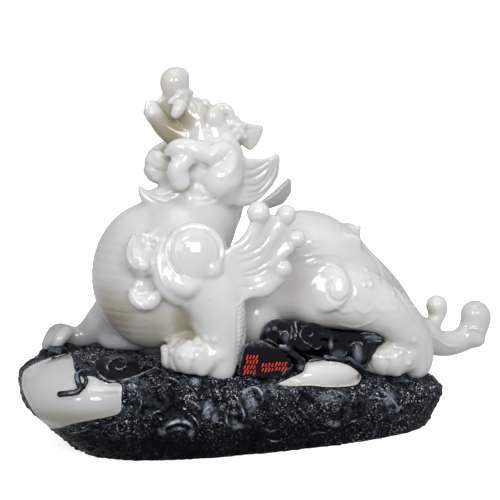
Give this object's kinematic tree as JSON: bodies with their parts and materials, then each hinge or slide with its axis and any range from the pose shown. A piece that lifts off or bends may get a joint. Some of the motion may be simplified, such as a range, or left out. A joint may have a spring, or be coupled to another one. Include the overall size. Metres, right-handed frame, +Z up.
{
  "type": "pixiu figure",
  "caption": "Crouching winged pixiu in white jade-like resin, head raised, on a long black rock with carved cloud scrolls; a desk or shelf ornament.",
  "frame": {"origin": "middle of the flat underside of the rock", "axes": "+X from the raised head towards the tail, +Y away from the carved front, +Z up"},
  "size_m": [0.4205, 0.155, 0.3023],
  "materials": {
    "resin": "polished white jade-like cast resin, slightly translucent",
    "black_skin": "glossy black skin over cast resin, chiselled all over, with two white windows and red strokes"
  },
  "bodies": {
    "root": {"pixiu": "resin", "rock_base": "black_skin"}
  },
  "joints": []
}
